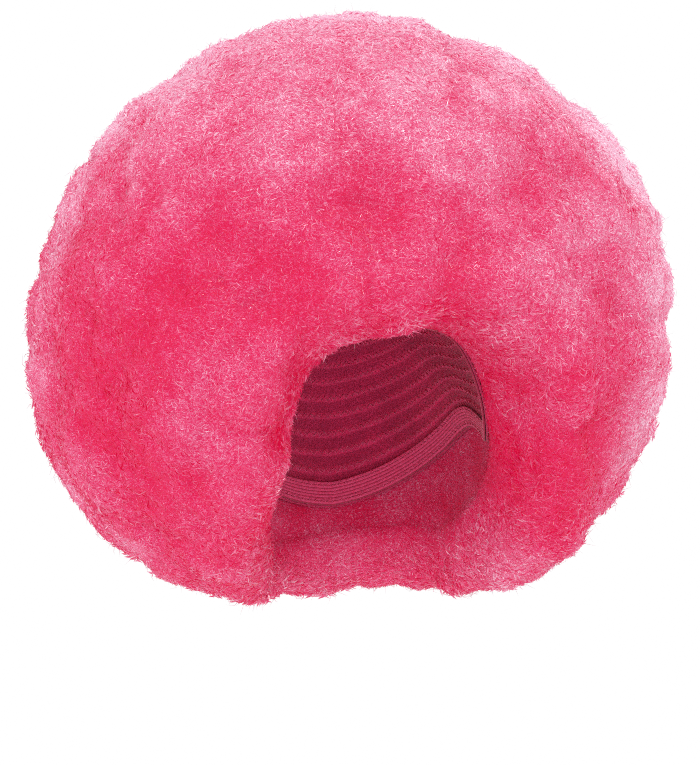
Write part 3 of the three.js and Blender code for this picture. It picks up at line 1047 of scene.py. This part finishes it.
def ringUv(rows, columns, start=0.0, end=1.0):
    # each quad's corners laid flat, with the rows across and the columns up a strip of the map
    row, column = np.meshgrid(np.arange(rows), np.arange(columns), indexing="ij")
    across = np.stack([row, row + 1, row + 1, row], axis=-1) / rows
    up = np.stack([column, column, column + 1, column + 1], axis=-1) / columns
    return np.stack([across, start + (end - start) * up], axis=-1).reshape(-1, 2)


def zigzagThread(angleAt, depth, stitch, reach):
    # a closed thread that runs to and fro across a line round the head: three sides at each turn
    count = 2 * round(math.pi * headForm["meanWidth"] / stitch)
    around = columnsAround(count)
    swing = np.where(np.arange(count) % 2 == 0, 1.0, -1.0) * reach / headForm["meanRadius"]
    path = overHead(angleAt(around) + swing, around, depth)
    inward = unitRows(heart - path)
    side = unitRows(np.cross(np.roll(path, -1, axis=0) - np.roll(path, 1, axis=0), inward))
    corner = 2 * math.pi * np.arange(3) / 3
    spokes = np.cos(corner)[:, None] * inward[:, None] - np.sin(corner)[:, None] * side[:, None]
    return path[:, None] + spokes * capForm["threadRadius"]


def makeThreads(name, grids):
    # several closed threads joined in one mesh
    points, faces, uvs, first = [], [], [], 0
    for i, grid in enumerate(grids):
        rows, columns = grid.shape[:2]
        points.append(grid.reshape(-1, 3))
        faces.append(ringFaces(rows, columns) + first)
        uvs.append(ringUv(rows, columns, i / len(grids), (i + 0.8) / len(grids)))
        first += rows * columns
    everyFace = [np.concatenate(faces)]
    newPiece(name, np.concatenate(points), everyFace, threadLook, None, np.concatenate(uvs))


def makeWeftThreads():
    # one zigzag thread along each weft, half sunk in it
    depth = capForm["weftHeight"] + capForm["threadRadius"] * capForm["threadSink"]
    grids = [
        zigzagThread(
            lambda around, share=share: share * capAngles(around)[0],
            depth, capForm["stitch"], capForm["stitchReach"],
        )
        for share in weftShares()
    ]
    makeThreads("weft_stitching", grids)


# The band: a ribbed elastic sewn inside the cap's edge by two zigzag rows.

bandForm = {
    "clearance": 0.0005,
    "wall": 0.0012,
    "ribs": 7,
    "ribHeight": 0.0003,
    "ribPoints": 7,
    "columns": 200,
    "stitch": 0.0035,
    "stitchReach": 0.0012,
    "stitchPlaces": (0.14, 0.86),
}
# the rib's colour, and painted shade for the grooves between the ribs
bandColours = {
    "rib": linear(222, 62, 116),
    "grooveShade": linear(158, 20, 64),
}


def makeBand():
    # a flat ring whose inner side rises and falls as a row of half sines, one for each rib
    around = columnsAround(bandForm["columns"])
    ribbed = np.linspace(0, 1, bandForm["ribs"] * bandForm["ribPoints"] + 1)
    across = np.concatenate([[0, 0.5, 1], [1.01], ribbed[::-1], [-0.01]])
    inside = np.concatenate([[0, 0, 0], [0.5], np.ones(len(ribbed)), [0.5]])
    rise = np.abs(np.sin(math.pi * bandForm["ribs"] * across)) * bandForm["ribHeight"] * (inside == 1)
    shares, turns = np.meshgrid(across, around, indexing="ij")
    start, end = capAngles(turns)
    depth = bandForm["clearance"] + inside * bandForm["wall"] + rise
    grid = overHead(start + (end - start) * shares, turns, depth[:, None])
    rows, columns = shares.shape
    attributes = {"rib": np.repeat(rise / bandForm["ribHeight"], columns)}
    points, faces = grid.reshape(-1, 3), [ringFaces(rows, columns)]
    uv = ringUv(rows, columns)
    band = newPiece("elastic_band", points, faces, bandMaterial(), "edge_band", uv, attributes)
    depth = bandForm["clearance"] + bandForm["wall"] + bandForm["ribHeight"]
    rowsOfStitches = []
    for place in bandForm["stitchPlaces"]:

        def angleAt(around, place=place):
            start, end = capAngles(around)
            return start + (end - start) * place

        rowsOfStitches.append(zigzagThread(angleAt, depth, bandForm["stitch"], bandForm["stitchReach"]))
    makeThreads("band_stitching", rowsOfStitches)


def bandMaterial():
    # woven ribs, with painted shade in the grooves
    settings = {"Roughness": 0.7, "Specular IOR Level": 0.35, "Sheen Weight": 0.25}
    material, tree, shader = newMaterial("ribbed_elastic", settings)
    rib = attributeOf(tree, "rib")
    weave = spread(tree, objectNoise(tree, 700.0, 3, 0.6), 0.35, 0.65)
    lit = mixColours(tree, weave, bandColours["rib"], capColours["thread"])
    body = mixColours(tree, spread(tree, rib, 0.0, 0.6), bandColours["grooveShade"], lit)
    dressShader(tree, shader, body, weave, 0.4, 0.0003)
    return material


threadLook = threadMaterial()
makeCap()
makeWeftThreads()
makeBand()

# Camera, lights and floor.

cameraForm = {
    "azimuth": -13.5,
    "elevation": 2.0,
    "distance": 2.4,
    "aim": (-0.002, 0.024, -0.080),
    "lens": 177.6,
    "floorBelow": 0.9,
    "floorRadius": 3.4,
}


def makeStage():
    # the camera on a sphere round its aim, and a floor far below
    a, e = math.radians(cameraForm["azimuth"]), math.radians(cameraForm["elevation"])
    back = Vector((math.sin(a) * math.cos(e), -math.cos(a) * math.cos(e), math.sin(e)))
    data = bpy.data.cameras.new("camera")
    data.lens = cameraForm["lens"]
    camera = bpy.data.objects.new("camera", data)
    camera.location = Vector(cameraForm["aim"]) + back * cameraForm["distance"]
    camera.rotation_mode = "QUATERNION"
    camera.rotation_quaternion = (-back).to_track_quat("-Z", "Y")
    bpy.context.scene.collection.objects.link(camera)
    bpy.context.scene.camera = camera

    bpy.ops.mesh.primitive_circle_add(
        vertices=96, radius=cameraForm["floorRadius"], fill_type="NGON",
        location=(0, 0, -cameraForm["floorBelow"]),
    )
    floor = bpy.context.object
    floor.name = "floor"
    material, _, shader = newMaterial("pale_floor", {"Roughness": 1.0, "Specular IOR Level": 0.0})
    shader.inputs["Base Color"].default_value = (0.9, 0.9, 0.9, 1)
    floor.data.materials.append(material)


# Each sun's strength, its width in degrees and where it comes from.
suns = {
    "key": (0.5, 40, (0.45, -0.35, 1.0)),
    "rim": (0.7, 30, (0.6, 0.7, 0.55)),
    "front": (0.25, 60, (-0.2, -1.0, 0.25)),
    "fill": (0.5, 60, (-0.9, -0.15, 0.05)),
    "glint": (3.0, 8, (0.15, -0.7, 0.7)),
}


def makeLights():
    # suns from named directions, a white world, and the plain view of colours
    for name, (strength, width, source) in suns.items():
        data = bpy.data.lights.new(name, "SUN")
        data.energy = strength
        data.angle = math.radians(width)
        light = bpy.data.objects.new(name, data)
        light.visible_diffuse = name != "glint"
        light.rotation_mode = "QUATERNION"
        light.rotation_quaternion = Vector(source).to_track_quat("Z", "Y")
        bpy.context.scene.collection.objects.link(light)
    world = bpy.data.worlds.new("studio")
    bpy.context.scene.world = world
    world.use_nodes = True
    background = world.node_tree.nodes["Background"]
    background.inputs["Color"].default_value = (1, 1, 1, 1)
    background.inputs["Strength"].default_value = 1.0
    bpy.context.scene.view_settings.view_transform = "Standard"
    # denoising would wipe the finest fibres away
    bpy.context.scene.cycles.use_denoising = False
    bpy.context.scene.cycles.filter_width = 1.0


makeStage()
makeLights()
